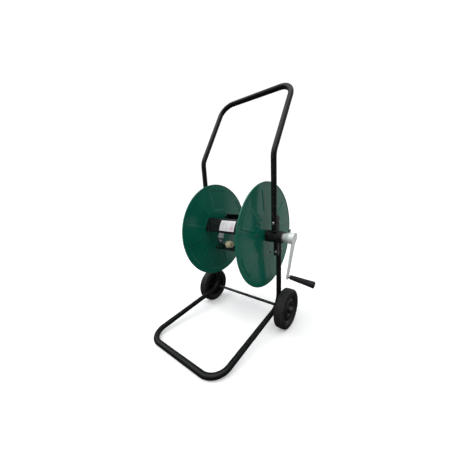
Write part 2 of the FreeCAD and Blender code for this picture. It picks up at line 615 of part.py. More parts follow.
def make_outlet():
    """The waterway inside the drum: a moulded elbow, a bent pipe, and a brass nut with a threaded outlet."""
    pipe_corners = [outlet_point(ELBOW_X, ELBOW_LENGTH - PIPE_SOCKET), outlet_point(ELBOW_X, OUTLET_DROP),
                    outlet_point(OUTLET_PIPE_END_X, OUTLET_DROP)]
    pipe = swept_tube(pipe_corners, [PIPE_BEND_RADIUS], PIPE_RADIUS, PIPE_WALL)
    nut = hexagon(OUTLET_NUT_FLATS, outlet_point(OUTLET_NUT_START_X, OUTLET_DROP),
                  outlet_point(OUTLET_NUT_END_X, OUTLET_DROP))
    nut = nut.cut(outlet_rod(PIPE_RADIUS, OUTLET_NUT_START_X, OUTLET_PIPE_END_X))
    nut = nut.cut(outlet_rod(OUTLET_SPIGOT_RADIUS, OUTLET_PIPE_END_X, OUTLET_NUT_END_X))
    spigot = outlet_rod(OUTLET_SPIGOT_RADIUS, OUTLET_PIPE_END_X, OUTLET_NUT_END_X)
    thread = outlet_rod(THREAD_RADIUS, OUTLET_NUT_END_X, OUTLET_NUT_END_X + THREAD_LENGTH)
    bore = outlet_rod(OUTLET_BORE_RADIUS, OUTLET_PIPE_END_X, OUTLET_NUT_END_X + THREAD_LENGTH)
    return {"inner_elbow": make_elbow(), "outlet_pipe": pipe, "outlet_nut": nut,
            "outlet_connector": spigot.fuse(thread).cut(bore).removeSplitter()}


# ---- inlet swivel ------------------------------------------------------------------------------------------------
def make_swivel():
    """An elbow that turns on the water shaft's end, closed by a gland nut, with its threaded inlet pointing down."""
    shaft_bore = WATER_SHAFT_RADIUS + RUNNING_CLEARANCE
    branch_top = vec(BRANCH_X, REEL_Y, REEL_Z)
    branch_end = vec(BRANCH_X, REEL_Y, BRANCH_END_Z)
    thread_start = branch_end + vec(0, 0, THREAD_LENGTH)
    collar_top = thread_start + vec(0, 0, BRANCH_COLLAR_HEIGHT)
    housing = rod_x(SWIVEL_RADIUS, SWIVEL_START_X, SWIVEL_END_X).fuse(rod(BRANCH_RADIUS, branch_top, thread_start))
    housing = housing.fuse(rod(THREAD_RADIUS, thread_start, branch_end))
    housing = housing.fuse(hexagon(BRANCH_COLLAR_FLATS, thread_start, collar_top))
    housing = housing.cut(rod_x(GLAND_RADIUS, SWIVEL_START_X, SWIVEL_CHAMBER_END_X))
    housing = housing.cut(rod_x(shaft_bore, SWIVEL_CHAMBER_END_X, WATER_SHAFT_END_X - 1))
    housing = housing.cut(rod_x(WATERWAY_RADIUS, WATER_SHAFT_END_X, SWIVEL_WATERWAY_END_X))
    housing = housing.cut(rod(BRANCH_BORE_RADIUS, branch_top, branch_end)).removeSplitter()
    nut = hexagon(GLAND_NUT_FLATS, vec(GLAND_START_X, REEL_Y, REEL_Z), vec(SWIVEL_START_X, REEL_Y, REEL_Z))
    nut = nut.fuse(rod_x(GLAND_RADIUS, SWIVEL_START_X, GLAND_END_X))
    nut = nut.cut(rod_x(shaft_bore, GLAND_START_X, GLAND_END_X)).removeSplitter()
    return {"swivel_housing": housing, "swivel_gland_nut": nut}


# ---- crank and grip ----------------------------------------------------------------------------------------------
RAKE = math.radians(CRANK_RAKE_DEGREES)
CRANK_TURN = math.radians(CRANK_ANGLE)
ARM_ALONG = vec(-math.sin(RAKE), math.cos(CRANK_TURN) * math.cos(RAKE), math.sin(CRANK_TURN) * math.cos(RAKE))
ARM_ACROSS = vec(0, -math.sin(CRANK_TURN), math.cos(CRANK_TURN))
GRIP_AXIS = ARM_ALONG.cross(ARM_ACROSS).normalize()
CRANK_FACE = vec(CRANK_FACE_X, REEL_Y, REEL_Z)
GRIP_BASE = CRANK_FACE + ARM_ALONG * CRANK_LENGTH


def grip_point(distance):
    """A point on the grip's axis, this far out from the arm's outer face."""
    return GRIP_BASE + GRIP_AXIS * distance


def make_crank():
    """A cast hub and a tapered arm that leans in towards the frame, with its set screw."""
    def face_point(along, across):
        return CRANK_FACE + ARM_ALONG * along + ARM_ACROSS * across

    through = GRIP_AXIS * -CRANK_ARM_THICKNESS
    head = rod(CRANK_HEAD_RADIUS, CRANK_FACE, CRANK_FACE + through)
    tail = CRANK_LENGTH + CRANK_TAIL
    half_top = CRANK_WIDTH_TOP / 2
    half_end = CRANK_WIDTH_END / 2
    bar = Part.Face(Part.makePolygon([
        face_point(0, half_top), face_point(CRANK_LENGTH, half_end), face_point(tail, half_end),
        face_point(tail, -half_end), face_point(CRANK_LENGTH, -half_end), face_point(0, -half_top),
        face_point(0, half_top)])).extrude(through)
    tip = rod(half_end, face_point(tail, 0), face_point(tail, 0) + through)
    nose = Part.makeCone(CRANK_NOSE_RADIUS, CRANK_HUB_RADIUS, CRANK_SHOULDER_X - CRANK_HUB_START_X,
                         vec(CRANK_HUB_START_X, REEL_Y, REEL_Z), AXIS_X)
    hub = nose.fuse(rod_x(CRANK_HUB_RADIUS, CRANK_SHOULDER_X, CRANK_FACE_X + CRANK_HEAD_REACH))
    beyond = rod(3 * CRANK_HUB_RADIUS, CRANK_FACE + through * 0.5, CRANK_FACE + GRIP_AXIS * CRANK_LENGTH)
    crank = hub.cut(beyond).multiFuse([head, bar, tip]).removeSplitter()
    crank = crank.cut(rod_x(CRANK_SHAFT_RADIUS, CRANK_HUB_START_X, CRANK_SHAFT_END_X + 0.5))
    crank = crank.cut(rod(GRIP_PIN_RADIUS, grip_point(-CRANK_ARM_THICKNESS - 1), grip_point(1)))
    shaft_middle = vec(SET_SCREW_X, REEL_Y, REEL_Z)
    screw_foot = shaft_middle + vec(0, 0, CRANK_SHAFT_RADIUS)
    screw_neck = screw_foot + vec(0, 0, SET_SCREW_LENGTH)
    screw_top = screw_neck + vec(0, 0, SET_SCREW_HEAD_HEIGHT)
    crank = crank.cut(rod(SET_SCREW_RADIUS, shaft_middle, screw_neck))
    screw = rod(SET_SCREW_RADIUS, screw_foot, screw_neck)
    screw = screw.fuse(hexagon(SET_SCREW_HEAD_FLATS, screw_neck, screw_top))
    return {"crank_arm": crank, "crank_set_screw": screw}


def grip_rod(radius, start, end):
    return rod(radius, grip_point(start), grip_point(end))


def make_grip():
    """A tapered sleeve that spins on a shouldered pin, with a cap over the pin's head."""
    arm_back = -CRANK_ARM_THICKNESS
    pin_end = GRIP_END - GRIP_RECESS_DEPTH + PIN_END_PLAY + PIN_HEAD_HEIGHT
    pin = grip_rod(GRIP_PIN_RADIUS, arm_back - PIN_RIVET_HEIGHT, pin_end)
    rivet = grip_rod(PIN_RIVET_RADIUS, arm_back - PIN_RIVET_HEIGHT, arm_back)
    shoulder = grip_rod(PIN_SHOULDER_RADIUS, 0, GRIP_START - PIN_END_PLAY)
    pin_head = grip_rod(PIN_HEAD_RADIUS, pin_end - PIN_HEAD_HEIGHT, pin_end)
    pin = pin.multiFuse([rivet, shoulder, pin_head]).removeSplitter()
    sleeve = Part.makeCone(GRIP_RADIUS_INNER, GRIP_RADIUS_OUTER, GRIP_END - GRIP_START,
                           grip_point(GRIP_START), GRIP_AXIS)
    sleeve = sleeve.cut(grip_rod(GRIP_PIN_RADIUS + RUNNING_CLEARANCE, GRIP_START, GRIP_END))
    sleeve = sleeve.cut(grip_rod(GRIP_RECESS_RADIUS, GRIP_END - GRIP_RECESS_DEPTH, GRIP_END))
    return {"grip_pin": pin, "grip_sleeve": sleeve,
            "grip_cap": grip_rod(GRIP_RECESS_RADIUS, GRIP_END - GRIP_CAP_THICKNESS, GRIP_END)}


# ---- assembly ----------------------------------------------------------------------------------------------------
def make_all():
    parts = make_tubes()
    parts["bearing_bracket_right"] = make_bracket(1, CRANK_SHAFT_RADIUS + BUSH_WALL)
    parts["bearing_bracket_left"] = make_bracket(-1, WATER_SHAFT_RADIUS + BUSH_WALL)
    parts["bearing_bush_right"] = make_bush(1, CRANK_SHAFT_RADIUS)
    parts["bearing_bush_left"] = make_bush(-1, WATER_SHAFT_RADIUS)
    parts.update(make_bracket_fasteners())
    parts.update(make_axle())
    for side, name in ((1, "right"), (-1, "left")):
        parts["wheel_rim_" + name], parts["tyre_" + name] = make_wheel(side)
    parts["flange_right"] = make_flange(1, FLANGE_RIGHT_X, CRANK_SHAFT_RADIUS)
    parts["flange_left"] = make_flange(-1, FLANGE_LEFT_X, WATER_SHAFT_RADIUS)
    for name, centre in DRUM_PLATE_ANGLES.items():
        parts["drum_plate_" + name] = make_drum_plate(centre)
    parts.update(make_drum_fasteners())
    parts["drum_label"] = make_label()
    parts["crank_shaft"] = make_crank_shaft()
    parts["water_shaft"] = make_water_shaft()
    parts.update(make_shaft_rings())
    parts.update(make_hub_spacers())
    parts.update(make_outlet())
    parts.update(make_swivel())
    parts.update(make_crank())
    parts.update(make_grip())
    return parts


def footprint_middle(parts):
    """The middle of the whole cart's box, seen from above."""
    box = Part.Compound(list(parts.values())).optimalBoundingBox(False, False)
    return vec((box.XMin + box.XMax) / 2, (box.YMin + box.YMax) / 2, 0)


PARTS = make_all()
MIDDLE = footprint_middle(PARTS)
os.makedirs("parts", exist_ok=True)
for node, shape in PARTS.items():
    shape.translate(MIDDLE * -1)
    shape.exportStep("parts/" + node + ".step")
print("middle of the footprint:", round(MIDDLE.x, 3), round(MIDDLE.y, 3))
print("nodes:", len(PARTS))
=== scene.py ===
"""The look of the garden hose reel cart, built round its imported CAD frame.

Lengths are in metres. Positions come from the CAD nodes' boxes and from the joints. The reel and the
wheels turn about axes along X, so most round pieces are outlines of (x, radius) turned about such an axis.
"""

import json
import math

import bmesh
import bpy
from mathutils import Matrix, Vector


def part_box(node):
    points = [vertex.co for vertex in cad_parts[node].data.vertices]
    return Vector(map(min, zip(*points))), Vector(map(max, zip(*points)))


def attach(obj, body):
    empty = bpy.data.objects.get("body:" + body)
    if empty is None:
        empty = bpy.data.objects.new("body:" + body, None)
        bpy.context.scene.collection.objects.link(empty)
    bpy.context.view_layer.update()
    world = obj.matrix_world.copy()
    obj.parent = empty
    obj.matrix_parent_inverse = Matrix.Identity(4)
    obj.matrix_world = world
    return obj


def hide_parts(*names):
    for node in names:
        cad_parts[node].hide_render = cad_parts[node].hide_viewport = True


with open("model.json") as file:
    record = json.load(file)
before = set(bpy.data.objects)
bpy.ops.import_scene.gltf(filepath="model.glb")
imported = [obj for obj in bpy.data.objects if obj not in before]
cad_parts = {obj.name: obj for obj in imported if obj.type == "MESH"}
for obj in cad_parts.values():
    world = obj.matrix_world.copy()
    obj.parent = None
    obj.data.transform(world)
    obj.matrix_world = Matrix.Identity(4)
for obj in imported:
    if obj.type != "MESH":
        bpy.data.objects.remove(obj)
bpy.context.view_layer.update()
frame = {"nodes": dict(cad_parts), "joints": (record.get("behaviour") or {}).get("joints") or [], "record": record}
MM = 0.001


# ---- places read from the frame ------------------------------------------------------------------
def middle(node):
    low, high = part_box(node)
    return (low + high) / 2


def joint_named(name):
    return next(joint for joint in frame["joints"] if joint["name"] == name)


AXLE = middle("axle")
AXLE_LINE = Vector((0, AXLE.y, AXLE.z))
REEL = Vector(joint_named("reel_spin")["pos_m"])
REEL.x = 0.0
GRIP_AXIS = Vector(joint_named("grip_spin")["axis"]).normalized()
GRIP_POINT = Vector(joint_named("grip_spin")["pos_m"])


# ---- mesh helpers --------------------------------------------------------------------------------
WELD_DISTANCE = 1e-7
SHARP_DEGREES = 35
BEVEL_DEGREES = 38
LONGEST_SETBACK = 0.49      # of the shorter side beside a rounded corner


def link(obj):
    bpy.context.scene.collection.objects.link(obj)
    return obj


def mesh_object(name, points, faces, sharp_degrees=SHARP_DEGREES):
    """A smooth-shaded object from points and faces, with sharp edges kept above an angle."""
    mesh = bpy.data.meshes.new(name)
    mesh.from_pydata([tuple(point) for point in points], [], faces)
    mesh.update()
    welded = bmesh.new()
    welded.from_mesh(mesh)
    bmesh.ops.remove_doubles(welded, verts=welded.verts, dist=WELD_DISTANCE)
    bmesh.ops.recalc_face_normals(welded, faces=welded.faces)
    welded.to_mesh(mesh)
    welded.free()
    mesh.shade_smooth()
    mesh.set_sharp_from_angle(angle=math.radians(sharp_degrees))
    return link(bpy.data.objects.new(name, mesh))


def rounded(corners, radius, steps):
    """A closed outline with its corners rounded: corners are (x, y) or (x, y, own radius)."""
    count = len(corners)
    outline = []
    for index, corner in enumerate(corners):
        point = Vector(corner[:2])
        own_radius = corner[2] if len(corner) > 2 else radius
        if own_radius <= 0:
            outline.append(point)
            continue
        before = Vector(corners[index - 1][:2]) - point
        after = Vector(corners[(index + 1) % count][:2]) - point
        half = before.angle(after) / 2
        room = LONGEST_SETBACK * min(before.length, after.length)
        setback = min(own_radius / math.tan(half), room)
        arc_radius = setback * math.tan(half)
        start = point + before.normalized() * setback
        end = point + after.normalized() * setback
        inward = (before.normalized() + after.normalized()).normalized()
        centre = point + inward * (arc_radius / math.sin(half))
        from_angle = math.atan2(start.y - centre.y, start.x - centre.x)
        turn = math.atan2(end.y - centre.y, end.x - centre.x) - from_angle
        turn = (turn + math.pi) % (2 * math.pi) - math.pi
        for step in range(steps + 1):
            angle = from_angle + turn * step / steps
            outline.append(centre + Vector((math.cos(angle), math.sin(angle))) * arc_radius)
    return outline


def ring_faces(rows, columns):
    """Quads of a grid of points stored row by row, closed on itself both ways."""
    faces = []
    for row in range(rows):
        for column in range(columns):
            next_row = (row + 1) % rows
            next_column = (column + 1) % columns
            faces.append((row * columns + column, row * columns + next_column,
                          next_row * columns + next_column, next_row * columns + column))
    return faces


def around_x(x, radius, angle, centre):
    """A point round an axis along X, with the angle from +Y through +Z."""
    return Vector((x, centre.y + radius * math.cos(angle), centre.z + radius * math.sin(angle)))


def lathe(name, outline, centre, segments, radius_at=None, sharp_degrees=SHARP_DEGREES):
    """Turn a closed outline of (x, radius) about an axis along X; radius_at may change a point's radius."""
    points = []
    for step in range(segments):
        angle = 2 * math.pi * step / segments
        for x, radius in outline:
            own = radius if radius_at is None else radius_at(x, radius, angle)
            points.append(around_x(x, own, angle, centre))
    return mesh_object(name, points, ring_faces(segments, len(outline)), sharp_degrees)


def place_along(obj, origin, direction):
    """Move an object whose own axis is +X through the origin to lie along a direction from a point."""
    turn = Vector((1, 0, 0)).rotation_difference(direction)
    obj.data.transform(Matrix.Translation(origin) @ turn.to_matrix().to_4x4())
    obj.data.update()


def joined(name, objects):
    """Join objects into one."""
    combined = bmesh.new()
    for obj in objects:
        combined.from_mesh(obj.data)
    mesh = bpy.data.meshes.new(name)
    combined.to_mesh(mesh)
    combined.free()
    for obj in objects:
        bpy.data.objects.remove(obj)
    mesh.shade_smooth()
    mesh.set_sharp_from_angle(angle=math.radians(SHARP_DEGREES))
    return link(bpy.data.objects.new(name, mesh))


def soften(obj, width):
    """A small bevel on an object's sharp edges."""
    bevel = obj.modifiers.new("bevel", "BEVEL")
    bevel.width = width
    bevel.segments = 2
    bevel.limit_method = "ANGLE"
    bevel.angle_limit = math.radians(BEVEL_DEGREES)
    bevel.harden_normals = True


# ---- materials -----------------------------------------------------------------------------------
class NodeTree:
    """A short way to write a material's nodes."""

    def __init__(self, name):
        self.material = bpy.data.materials.new(name)
        self.material.use_nodes = True
        self.tree = self.material.node_tree
        self.tree.nodes.clear()
        self.shader = self.add("ShaderNodeBsdfPrincipled")
        output = self.add("ShaderNodeOutputMaterial")
        self.tree.links.new(self.shader.outputs["BSDF"], output.inputs["Surface"])
        self.place = self.add("ShaderNodeTexCoord").outputs["Object"]

    def add(self, kind, **values):
        node = self.tree.nodes.new(kind)
        for name, value in values.items():
            setattr(node, name, value)
        return node

    def join(self, source, target):
        self.tree.links.new(source, target)

    def noise(self, scale, detail=3.0, roughness=0.55, stretch=None):
        """Noise from 0 to 1, with scale in features per metre."""
        place = self.place
        if stretch:
            mapping = self.add("ShaderNodeMapping")
            mapping.inputs["Scale"].default_value = stretch
            self.join(place, mapping.inputs["Vector"])
            place = mapping.outputs["Vector"]
        node = self.add("ShaderNodeTexNoise")
        node.inputs["Scale"].default_value = scale
        node.inputs["Detail"].default_value = detail
        node.inputs["Roughness"].default_value = roughness
        self.join(place, node.inputs["Vector"])
        return node.outputs["Fac"]

    def span(self, value, low, high, from_low=0.3, from_high=0.7):
        """Map a value onto a range, clamped."""
        node = self.add("ShaderNodeMapRange")
        node.inputs["From Min"].default_value = from_low
        node.inputs["From Max"].default_value = from_high
        node.inputs["To Min"].default_value = low
        node.inputs["To Max"].default_value = high
        self.join(value, node.inputs["Value"])
        return node.outputs["Result"]

    def mix(self, share, first, second):
        """Blend two colours, each a colour or a socket, by a share socket."""
        node = self.add("ShaderNodeMix", data_type="RGBA")
        self.join(share, node.inputs["Factor"])
        for value, socket in ((first, node.inputs[6]), (second, node.inputs[7])):
            if isinstance(value, bpy.types.NodeSocket):
                self.join(value, socket)
            else:
                socket.default_value = (*value, 1.0)
        return node.outputs[2]

    def edges(self, low=0.52, high=0.6):
        """Where the surface is a convex edge, from 0 to 1."""
        return self.span(self.add("ShaderNodeNewGeometry").outputs["Pointiness"], 0.0, 1.0, low, high)

    def product(self, first, second):
        node = self.add("ShaderNodeMath", operation="MULTIPLY")
        self.join(first, node.inputs[0])
        self.join(second, node.inputs[1])
        return node.outputs[0]

    def bump(self, height, strength, distance):
        node = self.add("ShaderNodeBump")
        node.inputs["Strength"].default_value = strength
        node.inputs["Distance"].default_value = distance
        self.join(height, node.inputs["Height"])
        self.join(node.outputs["Normal"], self.shader.inputs["Normal"])

    def colour(self, socket):
        self.join(socket, self.shader.inputs["Base Color"])

    def roughness(self, socket):
        self.join(socket, self.shader.inputs["Roughness"])

    def fixed(self, **values):
        """Uniform numbers, set on the shader's own sockets."""
        for name, value in values.items():
            self.shader.inputs[name.replace("_", " ")].default_value = value


def coated_metal(name, dark, light, worn, rough, grain, depth, specular):
    """Paint or powder coat: cloudy colour, orange-peel grain, and slightly worn edges."""
    nodes = NodeTree(name)
    cloud = nodes.span(nodes.noise(scale=14, detail=4), 0, 1)
    base = nodes.mix(cloud, dark, light)
    patches = nodes.span(nodes.noise(scale=160, detail=5), 0, 1, from_low=0.5, from_high=0.62)
    nodes.colour(nodes.mix(nodes.product(nodes.edges(), patches), base, worn))
    nodes.roughness(nodes.span(nodes.noise(scale=60, detail=4), *rough))
    nodes.bump(nodes.noise(grain, detail=2), strength=0.5, distance=depth)
    nodes.fixed(Specular_IOR_Level=specular)
    return nodes.material


def bare_metal(name, dark, light, rough, grain=900, stretch=None, depth=0.00002, edge=None, metallic=1.0):
    """Plated, cast or machined metal, with its grain drawn out along the turning marks by stretch."""
    nodes = NodeTree(name)
    cloud = nodes.span(nodes.noise(scale=45, detail=4), 0, 1)
    base = nodes.mix(cloud, dark, light)
    if edge:
        base = nodes.mix(nodes.edges(), base, edge)
    nodes.colour(base)
    nodes.roughness(nodes.span(nodes.noise(grain * 0.6, detail=4, stretch=stretch), *rough))
    nodes.bump(nodes.noise(grain, stretch=stretch), strength=0.6, distance=depth)
    nodes.fixed(Metallic=metallic)
    return nodes.material


def moulded(name, dark, light, rough, grain=1400, depth=0.00003, specular=0.4, worn=None):
    """Moulded plastic or rubber with a fine grain and paler, scuffed edges."""
    nodes = NodeTree(name)
    base = nodes.mix(nodes.span(nodes.noise(scale=25, detail=4), 0, 1), dark, light)
    if worn:
        patches = nodes.span(nodes.noise(scale=220, detail=4), 0, 1, from_low=0.45, from_high=0.65)
        base = nodes.mix(nodes.product(nodes.edges(low=0.51, high=0.58), patches), base, worn)
    nodes.colour(base)
    nodes.roughness(nodes.span(nodes.noise(scale=80, detail=4), *rough))
    nodes.bump(nodes.noise(grain), strength=0.5, distance=depth)
    nodes.fixed(Specular_IOR_Level=specular)
    return nodes.material


# areas of the label, as shares of its box: left, right, bottom, top
LABEL_TEXT = (0.08, 0.66, 0.12, 0.86)
LABEL_TINTS = (((0.72, 0.93, 0.12, 0.50), 0.55, (0.62, 0.30, 0.42)),
               ((0.72, 0.93, 0.58, 0.86), 0.45, (0.45, 0.52, 0.55)))     # area, strength, ink
LABEL_PAPER = ((0.72, 0.70, 0.71), (0.80, 0.78, 0.79))
LABEL_GREY = (0.30, 0.31, 0.34)
LABEL_GREY_STRENGTH = 0.55
LINE_WAVES = 75.0           # radians of the line pattern over the label's height


def label_material():
    """A white film printed with blank grey lines and two tinted blocks."""
    nodes = NodeTree("label_print")
    low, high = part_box("drum_label")
    split = nodes.add("ShaderNodeSeparateXYZ")
    nodes.join(nodes.place, split.inputs[0])
    across = nodes.span(split.outputs["X"], 0, 1, low.x, high.x)
    up = nodes.span(split.outputs["Z"], 0, 1, low.z, high.z)

    def with_number(operation, value, number):
        node = nodes.add("ShaderNodeMath", operation=operation)
        nodes.join(value, node.inputs[0])
        node.inputs[1].default_value = number
        return node.outputs[0]

    def between(value, low_edge, high_edge):
        above = with_number("GREATER_THAN", value, low_edge)
        return nodes.product(above, with_number("LESS_THAN", value, high_edge))

    def area(left, right, bottom, top):
        return nodes.product(between(across, left, right), between(up, bottom, top))

    def print_ink(where, strength, under, ink):
        return nodes.mix(nodes.span(where, 0, strength, 0, 1), under, ink)

    lines = nodes.add("ShaderNodeMath", operation="SINE")
    nodes.join(with_number("MULTIPLY", up, LINE_WAVES), lines.inputs[0])
    gaps = nodes.noise(scale=180, detail=2, stretch=(1.0, 0.2, 0.2))
    words = nodes.product(nodes.span(lines.outputs[0], 0, 1, from_low=-0.1, from_high=0.3),
                          nodes.span(gaps, 0, 1, from_low=0.42, from_high=0.5))
    printed = nodes.mix(nodes.span(nodes.noise(scale=30), 0, 1), *LABEL_PAPER)
    printed = print_ink(nodes.product(words, area(*LABEL_TEXT)), LABEL_GREY_STRENGTH, printed, LABEL_GREY)
    for edges, strength, ink in LABEL_TINTS:
        printed = print_ink(area(*edges), strength, printed, ink)
    nodes.colour(printed)
    nodes.roughness(nodes.span(nodes.noise(scale=120), 0.35, 0.5))
    nodes.bump(nodes.noise(scale=500, detail=2), strength=0.3, distance=0.02 * MM)
    return nodes.material


MATERIALS = {
    "black_tube": coated_metal("black_powder_coat", (0.0050, 0.0055, 0.0058), (0.0080, 0.0085, 0.0088),
                               (0.03, 0.03, 0.032), (0.24, 0.36), 900, 0.00004, specular=0.17),
    "black_bracket": coated_metal("black_cast_paint", (0.007, 0.007, 0.008), (0.011, 0.011, 0.012),
                                  (0.04, 0.04, 0.04), (0.38, 0.52), 700, 0.00006, specular=0.24),
    "axle_black": coated_metal("black_axle_paint", (0.008, 0.009, 0.010), (0.012, 0.013, 0.014),
                               (0.06, 0.06, 0.06), (0.28, 0.42), 900, 0.00003, specular=0.25),
    "black_sheet": coated_metal("black_sheet_paint", (0.003, 0.0045, 0.005), (0.005, 0.008, 0.009),
                                (0.03, 0.035, 0.035), (0.30, 0.42), 800, 0.00004, specular=0.14),
    "green_paint": coated_metal("green_gloss_paint", (0.0024, 0.128, 0.082), (0.0050, 0.152, 0.100),
                                (0.01, 0.26, 0.19), (0.20, 0.28), 500, 0.00002, specular=0.36),
    "zinc": bare_metal("dull_zinc", (0.34, 0.35, 0.36), (0.46, 0.47, 0.48), (0.34, 0.5)),
    "zinc_shaft": bare_metal("turned_steel", (0.34, 0.35, 0.37), (0.46, 0.47, 0.48), (0.26, 0.4),
                             stretch=(12.0, 1.0, 1.0)),
    "brass": bare_metal("machined_brass", (0.60, 0.43, 0.17), (0.76, 0.57, 0.27), (0.22, 0.36),
                        stretch=(12.0, 1.0, 1.0), edge=(0.88, 0.74, 0.44), metallic=0.85),
    # painted light: a paler, less metallic copy of the brass with pale edges, standing in for the front light on
    # the outlet nut and connector
    "brass_painted_lit": bare_metal("brass_painted_lit", (0.92, 0.66, 0.28), (0.98, 0.80, 0.44), (0.24, 0.36),
                               stretch=(12.0, 1.0, 1.0), edge=(1.0, 0.90, 0.62), metallic=0.3),
    # painted shade: a darker, green-tinted copy of the dull zinc, standing in for the shade the drum screws sit in
    "zinc_painted_shade": bare_metal("zinc_painted_shade", (0.13, 0.17, 0.16), (0.20, 0.24, 0.23), (0.36, 0.5)),
    "grey_pipe": bare_metal("plated_pipe", (0.20, 0.23, 0.27), (0.30, 0.33, 0.37), (0.3, 0.44)),
    "cast_aluminium": bare_metal("bright_cast_aluminium", (0.80, 0.84, 0.83), (0.90, 0.93, 0.92),
                                 (0.34, 0.50), grain=700, depth=0.00006, edge=(0.95, 0.96, 0.95),
                                 metallic=0.25),
    "bush_nylon": moulded("nylon", (0.40, 0.39, 0.36), (0.48, 0.47, 0.43), (0.35, 0.5)),
    "pale_plastic": moulded("pale_plastic", (0.50, 0.54, 0.51), (0.60, 0.63, 0.60), (0.32, 0.48)),
    "black_plastic": moulded("black_plastic", (0.008, 0.008, 0.009), (0.013, 0.013, 0.014), (0.4, 0.55),
                             specular=0.25, worn=(0.05, 0.05, 0.05)),
    "wheel_plastic": moulded("wheel_plastic", (0.009, 0.009, 0.009), (0.014, 0.014, 0.014), (0.36, 0.5),
                             specular=0.3, worn=(0.05, 0.05, 0.05)),
    "tyre_rubber": moulded("tyre_rubber", (0.009, 0.009, 0.009), (0.016, 0.016, 0.016), (0.48, 0.66), 900,
                           0.00008, specular=0.3, worn=(0.06, 0.06, 0.06)),
    "seal_rubber": moulded("seal_rubber", (0.008, 0.008, 0.008), (0.014, 0.014, 0.014), (0.45, 0.6)),
    "grip_plastic": moulded("grip_plastic", (0.006, 0.006, 0.007), (0.011, 0.011, 0.013), (0.42, 0.58),
                            1000, 0.00006, specular=0.2, worn=(0.04, 0.04, 0.045)),
    "label_film": label_material(),
}


def finish_piece(obj, body, slot, node):
    """Give a new piece its material, body and slot, and let it stand for its CAD node."""
    obj.data.materials.clear()
    obj.data.materials.append(MATERIALS[slot])
    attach(obj, body)
    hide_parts(node)


# ---- reel flanges --------------------------------------------------------------------------------
SHEET = 1.5 * MM
PANEL_COUNT = 6
PANEL_FIRST_ANGLE = math.radians(152)
PANEL_HALF_ANGLE = math.radians(15)
PANEL_RADII = (92 * MM, 178 * MM)
PANEL_LIFT = 1.6 * MM
PANEL_SLOPE = 2.2 * MM
HUB_RADIUS = 86 * MM
HUB_BEND = 5 * MM
BEAD = 2.5 * MM
BEAD_STEPS = 10
BEAD_HALF_TURN = 0.62       # of half a circle
FLANGE_BORES = {1: 8.2 * MM, -1: 10.2 * MM}     # round the crank shaft, and round the water shaft
THREE_WAVES = 0.22 * MM     # the sheet's slight waves: how high those that go three times round are
FIVE_WAVES = 0.14 * MM
WAVES_FADE = 12 * MM        # the waves fade out over this width inside the bead
PANEL_FOOT_BOW = 3 * MM
PANEL_SIDE_STEPS = (-1.4, -0.9, -0.45, 0.0, 0.45, 0.9, 1.4)     # degrees from a panel's side
PANEL_INSIDE_STEPS = tuple(range(-12, 13, 3))                   # degrees from a panel's middle
BETWEEN_PANELS_STEPS = tuple(range(18, 43, 3))                  # degrees from a panel's middle


def smooth_step(value, low, high):
    share = min(1.0, max(0.0, (value - low) / (high - low)))
    return share * share * (3 - 2 * share)


def panel_height(radius, angle):
    """How far a pressed wedge panel lifts the sheet here."""
    sector = 2 * math.pi / PANEL_COUNT
    offset = (angle - PANEL_FIRST_ANGLE + sector / 2) % sector - sector / 2
    side = smooth_step((PANEL_HALF_ANGLE - abs(offset)) * radius, -PANEL_SLOPE / 2, PANEL_SLOPE / 2)
    foot = PANEL_RADII[0] - PANEL_FOOT_BOW * math.cos(offset / PANEL_HALF_ANGLE * math.pi / 2)
    ends = smooth_step(radius, foot, foot + PANEL_SLOPE)
    ends *= 1 - smooth_step(radius, PANEL_RADII[1] - PANEL_SLOPE, PANEL_RADII[1])
    return PANEL_LIFT * side * ends


def flange_angles():
    """Angles round the flange, closer together at the panels' sides."""
    sector = 2 * math.pi / PANEL_COUNT
    near_edge = [math.radians(step) for step in PANEL_SIDE_STEPS]
    own = [math.radians(step) for step in PANEL_INSIDE_STEPS + BETWEEN_PANELS_STEPS]
    own += [sign * PANEL_HALF_ANGLE + step for sign in (-1, 1) for step in near_edge]
    angles = []
    for index in range(PANEL_COUNT):
        angles += [(PANEL_FIRST_ANGLE + index * sector + step) % (2 * math.pi) for step in own]
    return sorted(angles)


def flange_radii(bore, rim):
    """Radii across the sheet, closer together where it bends."""
    panel_start, panel_end = PANEL_RADII
    panel_length = panel_end - panel_start - 10 * MM
    flat = [bore + (HUB_RADIUS - HUB_BEND - bore) * step / 6 for step in range(7)]
    bend = [HUB_RADIUS - HUB_BEND + 2 * HUB_BEND * step / 6 for step in range(1, 6)]
    foot = [panel_start + step * MM for step in (-3.2, -2.2, -1.2, -0.2, 0.8, 1.8, 2.8)]
    cone = [panel_start + 6 * MM + panel_length * step / 11 for step in range(12)]
    top = [panel_end + step * MM for step in (-2.6, -1.9, -1.2, -0.5, 0.4)]
    outer = [panel_end + 2 * MM + (rim - panel_end - 2 * MM) * step / 4 for step in range(5)]
    return sorted(flat + bend + foot + cone + top + outer)


